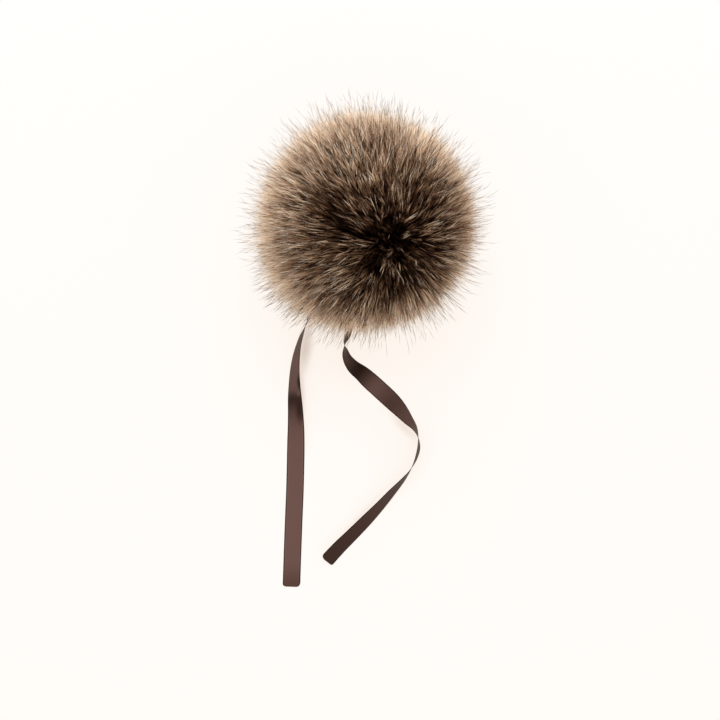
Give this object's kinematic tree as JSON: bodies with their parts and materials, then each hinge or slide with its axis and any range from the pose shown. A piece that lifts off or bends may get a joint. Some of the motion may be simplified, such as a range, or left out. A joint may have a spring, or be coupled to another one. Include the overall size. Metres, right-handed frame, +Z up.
{
  "type": "pom pom",
  "caption": "Round pom pom of long brown faux fur with tan tips, on two free tails of narrow satin ribbon that lie beside it.",
  "frame": {"origin": "middle of the flat spot under the ball, on the surface it rests on", "axes": "+Z up from the surface, -Y the way the tails lie, +X to the right of someone who looks down with the tails towards them"},
  "size_m": [0.132, 0.2775, 0.1204],
  "materials": {
    "fur": "long pile, near black at the roots, with a tan band under fine dark tips",
    "ribbon": "brown satin weave with a soft sheen and darker woven edges"
  },
  "bodies": {
    "root": {"fur_ball": "fur", "tie_left": "ribbon", "tie_right": "ribbon"}
  },
  "joints": []
}
